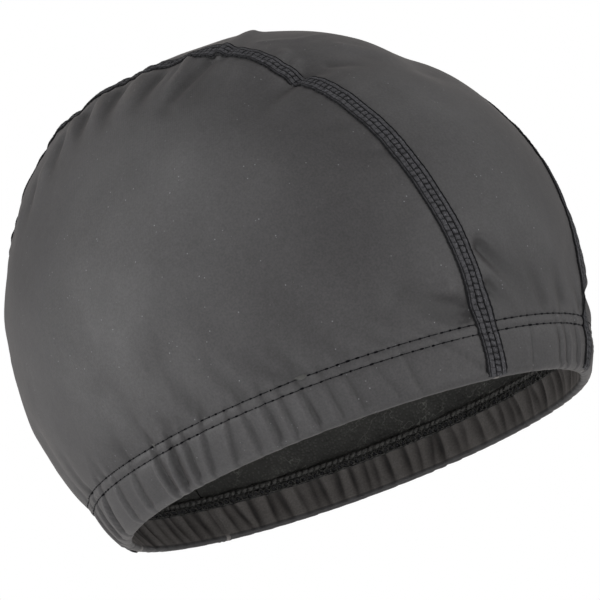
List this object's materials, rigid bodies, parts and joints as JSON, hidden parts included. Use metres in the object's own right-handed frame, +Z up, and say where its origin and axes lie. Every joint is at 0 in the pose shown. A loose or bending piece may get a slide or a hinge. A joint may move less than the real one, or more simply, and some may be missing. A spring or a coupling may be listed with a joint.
{
  "type": "swim cap",
  "caption": "Dark grey cloth swim cap with raised seams from forehead to nape and a gathered, stitched hem, filled out as worn.",
  "frame": {"origin": "inner face of the crown, where the top of the head bears", "axes": "+X to the forehead, +Y to the wearer's left, +Z up; the cap reaches down from the origin to its rim"},
  "size_m": [0.2005, 0.164, 0.146],
  "materials": {
    "cap_cloth": "matt coated stretch cloth, dark grey",
    "seam_thread": "near-black sewing thread"
  },
  "bodies": {
    "root": {"right_side_panel": "cap_cloth", "left_side_panel": "cap_cloth", "middle_panel": "cap_cloth", "right_seam": "seam_thread", "left_seam": "seam_thread", "hem_stitch_band": "seam_thread"}
  },
  "joints": []
}
